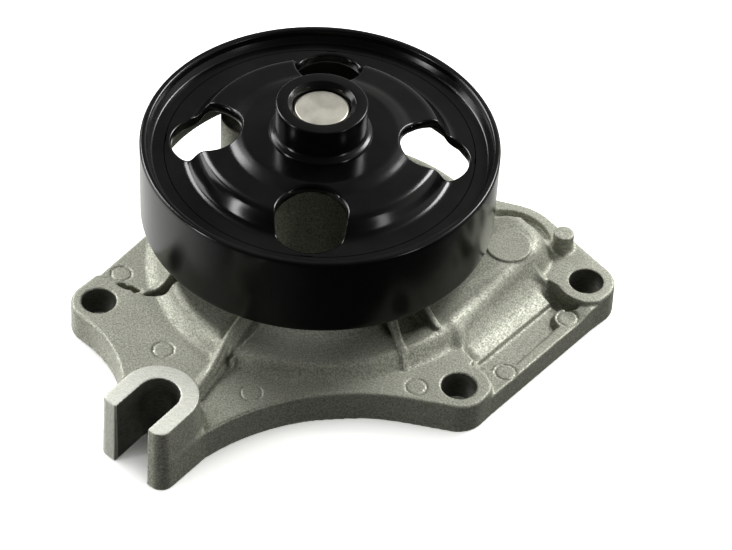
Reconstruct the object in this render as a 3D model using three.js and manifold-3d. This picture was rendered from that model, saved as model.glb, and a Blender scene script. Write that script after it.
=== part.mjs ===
// Water pump of a small four-cylinder car engine: a die-cast housing, a bearing shaft and the pulley,
// hub and impeller that turn with it. Millimetres, +Z along the shaft towards the belt side.
// The origin is the centre of the shaft's nose face. Pieces are made at heights above the gasket face,
// and the whole pump is then lowered by NOSE_HEIGHT.
import * as THREE from "three";
import { mergeVertices } from "three/addons/utils/BufferGeometryUtils.js";
import Module from "manifold-3d";

const wasm = await Module();
wasm.setup();

// Heights above the gasket face
const NOSE_HEIGHT = 62;
const STRIP_TOP = 7.5;
const FLANGE_TOP = 10;
const SCROLL_ROOF = 14.5;
const DISCHARGE_ROOF = 16.5;
const SLOT_BOSS_TOP = 21.5;
const REAR_BOSS_TOP = 32;
const TOWER_TOP = 48.5;
const RIM_BOTTOM = 24.15;
const RIM_TOP = 50;
const HUB_TOP = 64;

// Shaft and bearing
const SHAFT_R = 7.959;
const SHAFT_END = 2;
const NOSE_CHAMFER = 0.7;
const RACE_OUTER_R = 14.9;
const RACE_INNER_R = 11.46;
const RACE_LOW = 26;
const RACE_HIGH = 48;
const BALL_R = 2.5;
const BALLS_PER_ROW = 8;
const PITCH_R = 9.71;
const GROOVE_R = 2.6;
const ROWS = { rear: 31, front: 43 };
const CAGE_R = [9.2, 10.4];
const CAGE_HALF = 3.1;
const CAGE_POCKET_R = 2.7;

// Pulley and hub
const RIM_R = 52;
const RIM_WALL = 2.5;
const WEB_SHEET = 3;
const WINDOW_COUNT = 4;
const WINDOW_PITCH_R = 33;
const WINDOW_R = 10.2;
const WINDOW_TURN = -1.5;
const HUB_R = 13.2;
const HUB_SPIGOT_R = 11;

// Housing in plan
const TOWER_R = 21;
const BOLT_HOLE_R = 5;
const LOBE_R = 8.7;
const CUT_TOP = 40;
const BOLTS = { left: [-61.4, -30.4], front: [43.4, -56], right: [80.2, -10.2] };
const REAR_BOSS = { at: [-21.5, 31], r: 9.5 };
const SLOT = { at: [-39.7, -77.2], r: 6.1, wall: 5.3, angle: 235.5 };
const SLOT_ARMS = [{ reach: 10.6, side: -1, r: 1.9 }, { reach: 12, side: 1, r: 3 }];
const SLOT_FOOT = [{ reach: 9.7, n: -8.4, r: 1.9 }, { reach: 10.8, n: 8.4, r: 3 }];
const PIN = { at: [73.3, 3.8], r: 3.3, top: 15.7 };
const DISC_PAD = { at: [56.7, -4.3], r: 6.8, proud: 0.5 };
const EDGE_ANGLE = 53;
const RIB_ANGLE = 243.5;
const SCROLL_R = 56;
const OUTLET = { at: [57, -1], r: 11 };
const SLOT_MOUTH = 20;
const SECTOR_TOP = 60;

// The flange's hollows between its lobes: [x, y, radius], the radius negative
const LEFT_BAY = [-88.9, -67.3, -37.6];
const FRONT_BAY = [18.8, -125.8, -64.2];
const RIGHT_BAY = [46.5, 37.5, -12];
const REAR_EDGE = [[-35.1, 29.9, -3], [-66.5, -18.5, -3]];
// The straight edge's ends, as places along and across it
const EDGE_ENDS = [[-14, 81], [33, 82.3]];
const EDGE_END_R = -4;

// Recesses along the straight edge: [s0, s1, n0, n1, corner radius, floor height]
const EDGE_RECESSES = {
  strip: [-18, 40, 66, 95, 1, STRIP_TOP],
  valley: [-7.5, 32.4, 58, 67, 2, 7],
  panel: [-5.6, 33, 65.5, 73.8, 1.5, 5.6],
  pit: [28.6, 32.4, 59, 73.4, 1.8, 4.6],
};
const EDGE_PADS = [[56.8, -47.2], [74.8, -23.9]];
const EDGE_PAD_R = 4.3;
const RECESS_LOBE_R = 9.4;

// The wedge and the hook-shaped hollow at the foot of the scroll, beside the left lobe
const LEFT_PITS = [
  {
    floor: 4,
    points: [
      [-49.2, -26.3], [-43.1, -25.9], [-38.6, -22.2], [-35, -19],
      [-36.5, -17], [-40.4, -20.4], [-44.6, -23.2],
    ],
  },
  {
    floor: 5,
    points: [[-57.4, -22.9], [-54.5, -25.1], [-51.4, -26], [-50.1, -25.2], [-51.5, -22.5], [-55, -23.2]],
  },
];

// Wet side
const IMPELLER_R = 27.5;
const IMPELLER_ROOF = 9.3;
const IMPELLER_SHROUD = 2.5;
const VANE_COUNT = 6;
const VANE_LOW = 1;
const CHAMBER_R = 29.2;
const CHAMBER_ROOF = 10.3;
const SEAL_BORE_R = 14.6;
const SEAL_BORE_TOP = 21.5;
const WEEP_TOP = 25.5;
const WEEP_LIP = 2.6;
const RACE_FIT = 0.1;
const WEEP_R = 1.6;

const RAD = Math.PI / 180;
const CUT_PAST = 1;
const ROUND = 48;
const INNER_ROUND = 36;
const SEAL_ROUND = 32;
const CAGE_ROUND = 40;

const cast = new THREE.MeshStandardMaterial({ color: 0xa9ab9f, roughness: 0.62, metalness: 0.75 });
const paint = new THREE.MeshStandardMaterial({ color: 0x0b0b0c, roughness: 0.28, metalness: 0.1 });
const steel = new THREE.MeshStandardMaterial({ color: 0x9a9890, roughness: 0.38, metalness: 1 });
const race = new THREE.MeshStandardMaterial({ color: 0x8f9194, roughness: 0.22, metalness: 1 });
const cage = new THREE.MeshStandardMaterial({ color: 0x2f4a35, roughness: 0.6, metalness: 0 });
const rubber = new THREE.MeshStandardMaterial({ color: 0x161616, roughness: 0.8, metalness: 0 });
const carbon = new THREE.MeshStandardMaterial({ color: 0x242426, roughness: 0.45, metalness: 0.1 });
const ceramic = new THREE.MeshStandardMaterial({ color: 0xe6e2d6, roughness: 0.3, metalness: 0 });
const brass = new THREE.MeshStandardMaterial({ color: 0xb08d4a, roughness: 0.35, metalness: 1 });

// A closed three.js geometry as a solid that can be joined and cut.
function solid(geometry) {
  const bare = geometry.clone();
  bare.deleteAttribute("normal");
  bare.deleteAttribute("uv");
  const merged = mergeVertices(bare, 1e-4);
  const faces = [];
  for (let i = 0; i < merged.index.count; i += 3) {
    const [a, b, c] = [0, 1, 2].map((k) => merged.index.getX(i + k));
    if (a !== b && b !== c && c !== a) faces.push(a, b, c);
  }
  return new wasm.Manifold(
    new wasm.Mesh({
      numProp: 3,
      vertProperties: new Float32Array(merged.attributes.position.array),
      triVerts: new Uint32Array(faces),
    }),
  );
}

function named(name, shape, material) {
  const data = shape.getMesh();
  const geometry = new THREE.BufferGeometry();
  geometry.setAttribute("position", new THREE.BufferAttribute(data.vertProperties, 3));
  geometry.setIndex(new THREE.BufferAttribute(data.triVerts, 1));
  geometry.computeVertexNormals();
  const mesh = new THREE.Mesh(geometry, material);
  mesh.name = name;
  return mesh;
}

const join = (shapes) => shapes.reduce((all, next) => all.add(next));
const cut = (shape, tools) => tools.reduce((left, tool) => left.subtract(tool), shape);

// An outline in plan, pulled straight up between two heights.
function prism(points, low, high) {
  const outline = new THREE.Shape(points.map(([x, y]) => new THREE.Vector2(x, y)));
  const geometry = new THREE.ExtrudeGeometry(outline, { depth: high - low, bevelEnabled: false });
  return solid(geometry.translate(0, 0, low));
}

function drum([x, y], r, low, high, sides = 28, topR = r) {
  const geometry = new THREE.CylinderGeometry(topR, r, high - low, sides);
  return solid(geometry.rotateX(Math.PI / 2).translate(x, y, (low + high) / 2));
}

// A closed profile of [radius, height] pairs, listed anticlockwise, turned round the Z axis.
function turned(profile, sides = ROUND) {
  const points = [...profile, profile[0]].map(([r, z]) => new THREE.Vector2(r, z));
  return solid(new THREE.LatheGeometry(points, sides).rotateX(Math.PI / 2));
}

const tube = (inner, outer, low, high, sides) =>
  turned([[inner, low], [outer, low], [outer, high], [inner, high]], sides);

const polar = (r, degrees) => [r * Math.cos(degrees * RAD), r * Math.sin(degrees * RAD)];

// A path round a row of circles, anticlockwise, joined by their common tangents.
// A circle of positive radius is a corner that bulges out, and one of negative radius a hollow.
function tangentPath(circles, step = 9) {
  const lines = circles.map(([x, y, r], i) => {
    const [nextX, nextY, nextR] = circles[(i + 1) % circles.length];
    const lean = Math.asin((nextR - r) / Math.hypot(nextX - x, nextY - y));
    return Math.atan2(nextY - y, nextX - x) - lean;
  });
  return circles.flatMap(([x, y, r], i) => {
    const from = lines[(i + circles.length - 1) % circles.length];
    let turn = lines[i] - from;
    turn -= 2 * Math.PI * Math.round(turn / (2 * Math.PI));
    if (r > 0 && turn < 0) turn += 2 * Math.PI;
    const count = Math.max(1, Math.ceil(Math.abs(turn) / (step * RAD)));
    return Array.from({ length: count + 1 }, (_, k) => {
      const a = from + (turn * k) / count;
      return [x + r * Math.sin(a), y - r * Math.cos(a)];
    });
  });
}

// Axes along and across the housing's straight right-hand edge.
const along = [Math.cos(EDGE_ANGLE * RAD), Math.sin(EDGE_ANGLE * RAD)];
const across = [along[1], -along[0]];
const edgePoint = (s, n) => [along[0] * s + across[0] * n, along[1] * s + across[1] * n];

// The same for the open bolt slot: s runs out of its mouth.
function slotPoint(s, n) {
  const [dx, dy] = polar(1, SLOT.angle);
  return [SLOT.at[0] + dx * s - dy * n, SLOT.at[1] + dy * s + dx * n];
}

function flangeOutline() {
  return tangentPath([
    [...BOLTS.left, LOBE_R - 0.4],
    LEFT_BAY,
    ...SLOT_FOOT.map(({ reach, n, r }) => [...slotPoint(reach - r, n), r]),
    FRONT_BAY,
    [...BOLTS.front, LOBE_R],
    ...EDGE_ENDS.map(([s, n]) => [...edgePoint(s, n), EDGE_END_R]),
    [...BOLTS.right, LOBE_R],
    [56.2, 4.7, 17.5],
    RIGHT_BAY,
    [0, 0, 47],
    [...REAR_BOSS.at, REAR_BOSS.r],
    ...REAR_EDGE,
  ]);
}

// The scroll round the impeller: it steps out at the rib, runs round the front at one radius,
// and leaves along the housing's straight edge to the outlet under the disc pad.
function scroll() {
  const front = [[0, 0], polar(95, RIB_ANGLE), polar(120, 290), [110, -20], [110, 8], [50, 8]];
  const frontSector = prism(front, -CUT_PAST, SECTOR_TOP);
  const outlet = [...OUTLET.at, OUTLET.r];
  const back = tangentPath([[0, 0, 43.5], outlet, [50, 37, -18]]);
  const left = tangentPath([[5, -7.5, 50], [0, 0, 43.5]]);
  const right = tangentPath([[0, 0, SCROLL_R], outlet]);
  return join([
    prism(back, 0, SCROLL_ROOF),
    cut(prism(left, 0, SCROLL_ROOF), [frontSector]),
    prism(right, 0, SCROLL_ROOF).intersect(frontSector),
  ]);
}

function slotCut() {
  const mouth = SLOT_MOUTH;
  const points = tangentPath([
    [...slotPoint(0, 0), SLOT.r],
    [...slotPoint(mouth, -SLOT.r + 0.1), 0.1],
    [...slotPoint(mouth, SLOT.r - 0.1), 0.1],
  ]);
  return prism(points, -CUT_PAST, SLOT_BOSS_TOP + CUT_PAST);
}

function slotBoss() {
  const outer = SLOT.r + SLOT.wall;
  const arms = SLOT_ARMS.map(({ reach, side, r }) => [...slotPoint(reach - r, side * (outer - r)), r]);
  return prism(tangentPath([[...SLOT.at, outer], ...arms]), 0, SLOT_BOSS_TOP);
}

// An upright rib between two plan points, its top falling from one height to the other.
function rib([x0, y0], [x1, y1], thick, low, high0, high1) {
  const length = Math.hypot(x1 - x0, y1 - y0);
  const side = [[0, low], [length, low], [length, high1], [0, high0]];
  const outline = new THREE.Shape(side.map(([x, y]) => new THREE.Vector2(x, y)));
  const geometry = new THREE.ExtrudeGeometry(outline, { depth: thick, bevelEnabled: false });
  geometry.translate(0, 0, -thick / 2).rotateX(Math.PI / 2);
  return solid(geometry.rotateZ(Math.atan2(y1 - y0, x1 - x0)).translate(x0, y0, 0));
}

// The lower strip, valley and panel along the straight edge. They leave the lobes and pads standing.
function flangePockets() {
  const keep = [BOLTS.front, BOLTS.right].map((at) => drum(at, RECESS_LOBE_R, -CUT_PAST, CUT_TOP + CUT_PAST));
  const pads = EDGE_PADS.map((at) => drum(at, EDGE_PAD_R, -CUT_PAST, STRIP_TOP));
  return Object.values(EDGE_RECESSES).map(([s0, s1, n0, n1, r, floor]) => {
    const corners = [[s0 + r, n0 + r], [s0 + r, n1 - r], [s1 - r, n1 - r], [s1 - r, n0 + r]];
    const tool = prism(tangentPath(corners.map(([s, n]) => [...edgePoint(s, n), r])), floor, CUT_TOP);
    return cut(tool, [...keep, ...pads]);
  });
}

// The wet side: impeller chamber, scroll round it, its outlet, seal bore, weep chamber and bearing bore.
function wetSide() {
  const scroll = tangentPath([
    [5, -9, 34],
    [56, -1.5, 7.5],
  ]);
  return [
    prism(scroll, -CUT_PAST, FLANGE_TOP - 0.5),
    drum([0, 0], CHAMBER_R, -CUT_PAST, CHAMBER_ROOF, ROUND),
    drum([0, 0], SEAL_BORE_R, 0, SEAL_BORE_TOP, ROUND),
    drum([0, 0], SEAL_BORE_R - WEEP_LIP, 0, WEEP_TOP, ROUND),
    drum([0, 0], RACE_OUTER_R + RACE_FIT, WEEP_TOP, TOWER_TOP + CUT_PAST, ROUND),
    weepHole(),
  ];
}

function weepHole() {
  const geometry = new THREE.CylinderGeometry(WEEP_R, WEEP_R, 40, 16);
  return solid(geometry.translate(0, 25, (SEAL_BORE_TOP + WEEP_TOP) / 2));
}

function pumpBody() {
  const holes = [...Object.values(BOLTS), REAR_BOSS.at].map((at) =>
    drum(at, BOLT_HOLE_R, -CUT_PAST, CUT_TOP, 24),
  );
  const outside = join([
    prism(flangeOutline(), 0, FLANGE_TOP),
    scroll(),
    slotBoss(),
    drum([0, 0], TOWER_R + 1.5, 0, TOWER_TOP, ROUND, TOWER_R),
    drum(REAR_BOSS.at, REAR_BOSS.r, 0, REAR_BOSS_TOP),
    drum(PIN.at, PIN.r, 0, PIN.top, 28),
  ]);
  const pits = LEFT_PITS.map(({ floor, points }) => prism(points, floor, CUT_TOP));
  const dressed = join([
    cut(outside, [...flangePockets(), ...pits]),
    drum(OUTLET.at, OUTLET.r, 0, DISCHARGE_ROOF),
    drum(DISC_PAD.at, DISC_PAD.r, 0, DISCHARGE_ROOF + DISC_PAD.proud),
    rib([-9, -17.5], [-30.5, -66], 3.2, 5, 21, 15.5),
    rib([16.5, -17], [27.5, -50], 1.6, 5, 24, 15),
    rib([18.2, -12], [37.6, -39.6], 1.6, 5, 26, 15),
    rib([-14, 12], REAR_BOSS.at, 5, 5, 40, 30),
  ]);
  return cut(dressed, [
    ...wetSide(),
    ...holes,
    slotCut(),
  ]);
}

// Pressed-steel pulley: rim with a rolled bead, flat annulus, and a raised middle with a hole for the hub.
function pulley() {
  const z = (h) => RIM_TOP + h;
  const inner = RIM_R - RIM_WALL;
  const blank = turned([
    [HUB_SPIGOT_R + 0.1, z(3.2)],
    [HUB_SPIGOT_R + 0.1, z(3.2 - WEB_SHEET)],
    [22, z(3.2 - WEB_SHEET)],
    [26, z(1.9 - WEB_SHEET)],
    [33.6, z(1.6 - WEB_SHEET)],
    [38, z(-3.8 - WEB_SHEET)],
    [47.5, z(-3.8 - WEB_SHEET)],
    [inner, z(-5.2 - WEB_SHEET)],
    [inner, RIM_BOTTOM],
    [RIM_R, RIM_BOTTOM],
    [RIM_R, z(-0.8)],
    [51.2, z(0)],
    [50, z(-0.2)],
    [inner, z(-2.8)],
    [48.4, z(-3.8)],
    [39, z(-3.8)],
    [35.2, z(1.4)],
    [34.2, z(1.8)],
    [27, z(2.1)],
    [22.5, z(3.2)],
  ]);
  const windows = Array.from({ length: WINDOW_COUNT }, (_, i) => {
    const at = polar(WINDOW_PITCH_R, (360 / WINDOW_COUNT) * i + WINDOW_TURN);
    return drum(at, WINDOW_R, RIM_BOTTOM, HUB_TOP);
  });
  return cut(blank, windows);
}

function hub() {
  const web = RIM_TOP + 3.2;
  return turned([
    [SHAFT_R + 0.05, web - 3],
    [HUB_SPIGOT_R, web - 3],
    [HUB_SPIGOT_R, web + 0.05],
    [HUB_R + 1.8, web + 0.05],
    [HUB_R + 1.2, web + 0.8],
    [HUB_R, web + 1.8],
    [HUB_R, HUB_TOP - 0.8],
    [HUB_R - 0.8, HUB_TOP],
    [9.9, HUB_TOP],
    [9.3, HUB_TOP - 0.6],
    [SHAFT_R + 0.05, HUB_TOP - 2.2],
  ]);
}

// Half-round raceway in a profile, from low to high, on the side given by sign.
function groove(z, surfaceR, sign, count = 4) {
  const reach = Math.abs(surfaceR - PITCH_R);
  const half = Math.acos(reach / GROOVE_R);
  return Array.from({ length: count + 1 }, (_, i) => {
    const a = half - (2 * half * i) / count;
    return [PITCH_R + sign * GROOVE_R * Math.cos(a), z - GROOVE_R * Math.sin(a)];
  });
}

function shaft() {
  return turned([
    [0, SHAFT_END],
    [SHAFT_R - NOSE_CHAMFER, SHAFT_END],
    [SHAFT_R, SHAFT_END + NOSE_CHAMFER],
    ...groove(ROWS.rear, SHAFT_R, -1),
    ...groove(ROWS.front, SHAFT_R, -1),
    [SHAFT_R, NOSE_HEIGHT - NOSE_CHAMFER],
    [SHAFT_R - NOSE_CHAMFER, NOSE_HEIGHT],
    [0, NOSE_HEIGHT],
  ], INNER_ROUND);
}

function outerRace() {
  return turned([
    [RACE_INNER_R, RACE_LOW],
    [RACE_OUTER_R - 0.6, RACE_LOW],
    [RACE_OUTER_R, RACE_LOW + 0.6],
    [RACE_OUTER_R, RACE_HIGH - 0.6],
    [RACE_OUTER_R - 0.6, RACE_HIGH],
    [RACE_INNER_R, RACE_HIGH],
    ...groove(ROWS.front, RACE_INNER_R, 1).reverse(),
    ...groove(ROWS.rear, RACE_INNER_R, 1).reverse(),
  ], INNER_ROUND);
}

const ballAngle = (i) => (360 / BALLS_PER_ROW) * i;

function ball(z, i) {
  const [x, y] = polar(PITCH_R, ballAngle(i));
  return solid(new THREE.IcosahedronGeometry(BALL_R, 1).translate(x, y, z));
}

// Snap-in cage: a ring with round pockets, open towards its own side of the bearing.
function ballCage(z) {
  const pockets = Array.from({ length: BALLS_PER_ROW }, (_, i) => {
    const [x, y] = polar(PITCH_R, ballAngle(i));
    const drill = new THREE.CylinderGeometry(CAGE_POCKET_R, CAGE_POCKET_R, 4, 12);
    return solid(drill.rotateZ(Math.PI / 2).rotateZ(ballAngle(i) * RAD).translate(x, y, z));
  });
  return cut(tube(...CAGE_R, z - CAGE_HALF, z + CAGE_HALF, CAGE_ROUND), pockets);
}

const bearingSeal = (low) =>
  turned([
    [SHAFT_R + 0.15, low + 0.3],
    [8.6, low],
    [RACE_INNER_R - 0.1, low],
    [RACE_INNER_R - 0.1, low + 1.1],
    [8.6, low + 0.8],
  ], SEAL_ROUND);

const slinger = () =>
  turned([
    [SHAFT_R + 0.05, 22.8],
    [9.4, 22.8],
    [11.2, 23.6],
    [11.2, 24.4],
    [9.4, 23.8],
    [9.4, 24.6],
    [SHAFT_R + 0.05, 24.6],
  ], SEAL_ROUND);

// Stationary half of the face seal, from the case in the bore to the carbon ring.
function sealCase() {
  return turned([
    [10.2, 20.3],
    [13.4, 20.3],
    [13.4, 12],
    [SEAL_BORE_R - 0.1, 12],
    [SEAL_BORE_R - 0.1, 21.3],
    [10.2, 21.3],
  ], SEAL_ROUND);
}

const sealBellows = () =>
  turned([
    [9.4, 16.4],
    [11.9, 16.4],
    [11.9, 17.4],
    [10.4, 17.8],
    [10.4, 20.1],
    [9.4, 20.1],
  ], SEAL_ROUND);

const carbonRing = () =>
  turned([[9, 14.3], [11, 14.3], [11.9, 15], [11.9, 16.2], [9, 16.2]], SEAL_ROUND);

function sealSpring() {
  const [turns, coilR, low, high, steps] = [2.5, 12.6, 16.6, 19.3, 40];
  const points = Array.from({ length: steps + 1 }, (_, i) => {
    const [x, y] = polar(coilR, (360 * turns * i) / steps);
    return new THREE.Vector3(x, y, low + ((high - low) * i) / steps);
  });
  const wire = new THREE.Shape();
  wire.absarc(0, 0, 0.4, 0, 2 * Math.PI);
  const path = new THREE.CatmullRomCurve3(points);
  const options = { steps, extrudePath: path, bevelEnabled: false, curveSegments: 3 };
  return solid(new THREE.ExtrudeGeometry(wire, options));
}

// Rotating half: a rubber cup on the shaft with the hard seat ring in it.
const seatCup = () =>
  turned([
    [SHAFT_R + 0.05, 9.9],
    [12.2, 9.9],
    [12.2, 12.2],
    [11.6, 12.2],
    [11.6, 11],
    [SHAFT_R + 0.05, 11],
  ], SEAL_ROUND);

const seatRing = () => tube(8.3, 11.5, 11.1, 14.2, SEAL_ROUND);

function vane(i) {
  const [r0, r1, sweep, steps] = [12, IMPELLER_R - 1, 42, 8];
  const side = (offset) =>
    Array.from({ length: steps + 1 }, (_, k) => {
      const share = k / steps;
      const turn = (360 / VANE_COUNT) * i - sweep * share;
      const r = r0 + (r1 - r0) * share;
      return polar(r, turn + offset / (r * RAD));
    });
  return prism([...side(-1.1), ...side(1.1).reverse()], VANE_LOW, IMPELLER_ROOF - 1);
}

function impeller() {
  const low = IMPELLER_ROOF - IMPELLER_SHROUD;
  const core = turned([
    [SHAFT_R + 0.05, VANE_LOW + 0.6],
    [11, VANE_LOW + 0.6],
    [13, low - 1],
    [14.5, low],
    [IMPELLER_R, low],
    [IMPELLER_R, IMPELLER_ROOF],
    [SHAFT_R + 0.05, IMPELLER_ROOF],
  ]);
  return join([core, ...Array.from({ length: VANE_COUNT }, (_, i) => vane(i))]);
}

const pump = new THREE.Group();
pump.position.z = -NOSE_HEIGHT;

const housing = new THREE.Group();
housing.add(named("pump_body", pumpBody(), cast));
housing.add(named("bearing_outer_race", outerRace(), race));
housing.add(named("bearing_seal_rear", bearingSeal(RACE_LOW + 0.3), rubber));
housing.add(named("bearing_seal_front", bearingSeal(RACE_HIGH - 1.4), rubber));
housing.add(named("seal_case", sealCase(), brass));
housing.add(named("seal_bellows", sealBellows(), rubber));
housing.add(named("seal_spring", sealSpring(), steel));
housing.add(named("seal_carbon_ring", carbonRing(), carbon));

const rotor = new THREE.Group();
rotor.add(named("pulley", pulley(), paint));
rotor.add(named("pulley_hub", hub(), paint));
rotor.add(named("bearing_shaft", shaft(), steel));
rotor.add(named("slinger", slinger(), rubber));
rotor.add(named("seal_seat_cup", seatCup(), rubber));
rotor.add(named("seal_seat_ring", seatRing(), ceramic));
rotor.add(named("impeller", impeller(), cast));

pump.add(housing, rotor);
for (const [row, z] of Object.entries(ROWS)) {
  const set = new THREE.Group();
  set.add(named(`ball_cage_${row}`, ballCage(z), cage));
  for (let i = 0; i < BALLS_PER_ROW; i++) {
    set.add(named(`ball_${row}_${i + 1}`, ball(z, i), race));
  }
  pump.add(set);
}

export default pump;
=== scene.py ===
"""Looks of a car engine's water pump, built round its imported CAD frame: a die-cast housing, a painted
pulley on its hub and shaft, and the bearing, face seal and impeller inside.

Every shape is worked out in millimetres, with heights above the housing's gasket face, and is moved
to the frame's metres when its mesh is made."""

import math

import bpy
import numpy as np
import openvdb
from mathutils import Matrix, Vector
from mathutils.geometry import delaunay_2d_cdt


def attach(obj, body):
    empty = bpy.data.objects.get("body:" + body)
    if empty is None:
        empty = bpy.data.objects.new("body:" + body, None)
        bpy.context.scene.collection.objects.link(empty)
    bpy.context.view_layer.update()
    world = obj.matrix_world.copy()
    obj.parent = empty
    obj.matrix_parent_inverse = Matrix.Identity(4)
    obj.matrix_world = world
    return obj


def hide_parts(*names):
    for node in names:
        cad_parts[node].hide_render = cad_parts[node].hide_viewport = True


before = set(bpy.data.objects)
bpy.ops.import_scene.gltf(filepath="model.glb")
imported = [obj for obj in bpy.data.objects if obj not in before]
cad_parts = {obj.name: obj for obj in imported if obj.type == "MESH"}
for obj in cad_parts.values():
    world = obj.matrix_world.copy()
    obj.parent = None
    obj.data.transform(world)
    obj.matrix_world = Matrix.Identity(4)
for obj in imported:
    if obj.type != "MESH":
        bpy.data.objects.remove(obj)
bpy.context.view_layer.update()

MM = 0.001
NOSE_HEIGHT = 62.0  # the frame's origin, the shaft's nose, above the gasket face

# Heights above the gasket face
STRIP_TOP = 7.5
PANEL_FLOOR = 5.6
VALLEY_FLOOR = 7.0
PLATE_TOP = 8.5
FLANGE_TOP = 10.0
SCROLL_ROOF = 14.5
DISCHARGE_ROOF = 16.5
SLOT_BOSS_TOP = 21.5
REAR_BOSS_TOP = 32.0
TOWER_TOP = 48.5
RIM_BOTTOM = 24.15
RIM_TOP = 50.0
HUB_TOP = 64.0

# Housing in plan
TOWER_R = 21.0
BOLT_HOLE_R = 5.0
BOLTS = {"left": (-61.4, -30.4), "front": (43.4, -56.0), "right": (80.2, -10.2)}
REAR_BOSS = (-21.5, 31.0)
REAR_BOSS_R = 9.5
LOBE_R = 8.7
LEFT_LOBE_R = 8.3
SLOT_AT = (-39.7, -77.2)
SLOT_R = 6.1
SLOT_WALL = 5.3
SLOT_REACH_LEFT = 10.6
SLOT_REACH_RIGHT = 12.0
ARM_R_LEFT = 1.9
ARM_R_RIGHT = 3.0
SLOT_ANGLE = math.radians(235.5)
PIN_AT = (73.3, 3.8)
PIN_R = 3.3
PIN_TOP = 15.7
DISC_PAD_AT = (56.7, -4.3)
DISC_PAD_R = 6.8
PAD_FRONT = (56.8, -47.2)
PAD_RIGHT = (74.8, -23.9)
PAD_R = 4.3
PIT_FLOOR = 4.4
OUTLET = (57.0, -1.0, 11.0)  # x, y and radius of the dome over the scroll's outlet
EDGE_ANGLE = math.radians(53)
RIB_ANGLE = 243.5

# Wet side and bores
CHAMBER_R = 29.2
CHAMBER_ROOF = 10.3
SEAL_BORE_R = 14.6
SEAL_BORE_TOP = 21.5
WEEP_TOP = 25.5
WEEP_R = 1.6
RACE_BORE_R = 15.0

# Rotating parts
SHAFT_R = 7.959
RIM_R = 52.0
HUB_R = 13.2
HUB_SPIGOT_R = 11.0
WINDOW_PITCH_R = 33.0
WINDOW_R = 10.15
WINDOW_TURN = -1.5
WEB_SHEET = 3.0
LEDGE_DROP = 3.8
RACE_INNER_R = 11.46
RACE_OUTER_R = 14.9
RACE_LOW = 26.0
RACE_HIGH = 48.0
GROOVE_R = 2.6
GROOVE_STEPS = 10
PITCH_R = 9.71
BALL_R = 2.5
BALLS_PER_ROW = 8
ROWS = {"rear": 31.0, "front": 43.0}
IMPELLER_R = 27.5
IMPELLER_ROOF = 9.3
IMPELLER_PLATE = 2.5
VANE_COUNT = 6
VANE_SWEEP = 42.0
CAGE_INNER_R = 9.2
CAGE_OUTER_R = 10.4
CAGE_HALF = 3.1
CAGE_POCKET_R = 2.7
ON_SHAFT = SHAFT_R + 0.05
SHAFT_END = 2.0
RIM_WALL = 2.5
SEAL_TURNS = 144  # steps round the small rings inside

VOXEL = 0.45
TURNS = 288


# ---------------------------------------------------------------- materials


def nodes_of(name):
    """A fresh material, its node tree and its Principled shader."""
    made = bpy.data.materials.new(name)
    made.use_nodes = True
    tree = made.node_tree
    return made, tree, tree.nodes["Principled BSDF"]


def noise(tree, scale, detail=3.0, roughness=0.55, stretch=(1, 1, 1)):
    """Noise in the piece's own coordinates; scale is in features per metre."""
    place = tree.nodes.new("ShaderNodeTexCoord")
    mapping = tree.nodes.new("ShaderNodeMapping")
    mapping.inputs["Scale"].default_value = stretch
    texture = tree.nodes.new("ShaderNodeTexNoise")
    texture.inputs["Scale"].default_value = scale
    texture.inputs["Detail"].default_value = detail
    texture.inputs["Roughness"].default_value = roughness
    tree.links.new(place.outputs["Object"], mapping.inputs["Vector"])
    tree.links.new(mapping.outputs["Vector"], texture.inputs["Vector"])
    return texture.outputs["Fac"]


def spread(tree, value, low, high, from_low=0.3, from_high=0.7):
    """A value stretched from one range to another, clamped."""
    node = tree.nodes.new("ShaderNodeMapRange")
    node.inputs["From Min"].default_value = from_low
    node.inputs["From Max"].default_value = from_high
    node.inputs["To Min"].default_value = low
    node.inputs["To Max"].default_value = high
    tree.links.new(value, node.inputs["Value"])
    return node.outputs["Result"]


def math_node(tree, operation, a, b=0.0):
    node = tree.nodes.new("ShaderNodeMath")
    node.operation = operation
    for socket, value in zip(node.inputs, (a, b)):
        if isinstance(value, (int, float)):
            socket.default_value = value
        else:
            tree.links.new(value, socket)
    return node.outputs["Value"]


def added(tree, a, b):
    return math_node(tree, "ADD", a, b)


def times(tree, a, b):
    return math_node(tree, "MULTIPLY", a, b)


def tinted(tree, shader, dark, light, share):
    """Base colour between two tones, by a value from 0 to 1."""
    mix = tree.nodes.new("ShaderNodeMix")
    mix.data_type = "RGBA"
    mix.inputs["A"].default_value = (*dark, 1)
    mix.inputs["B"].default_value = (*light, 1)
    tree.links.new(share, mix.inputs["Factor"])
    tree.links.new(mix.outputs["Result"], shader.inputs["Base Color"])


def roughened(tree, shader, value, low, high, from_low, from_high):
    """Roughness from low to high, as a value goes between two marks."""
    tree.links.new(spread(tree, value, low, high, from_low, from_high), shader.inputs["Roughness"])


def bumped(tree, shader, height, strength, distance):
    bump = tree.nodes.new("ShaderNodeBump")
    bump.inputs["Strength"].default_value = strength
    bump.inputs["Distance"].default_value = distance
    tree.links.new(height, bump.inputs["Height"])
    tree.links.new(bump.outputs["Normal"], shader.inputs["Normal"])


def moulded_finish(name, dark, light, rough, grain, bump, bump_depth):
    """Rubber, plastic and ceramic: fine grain, slow patches of tone, and roughness that follows both."""
    made, tree, shader = nodes_of(name)
    fine = noise(tree, grain, 3.0, 0.6)
    slow = noise(tree, 60, 4.0, 0.6)
    share = added(tree, spread(tree, fine, 0.0, 0.62), spread(tree, slow, 0.0, 0.38))
    tinted(tree, shader, dark, light, share)
    roughened(tree, shader, added(tree, fine, slow), *rough, 0.7, 1.3)
    bumped(tree, shader, fine, bump, bump_depth)
    return made


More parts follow.
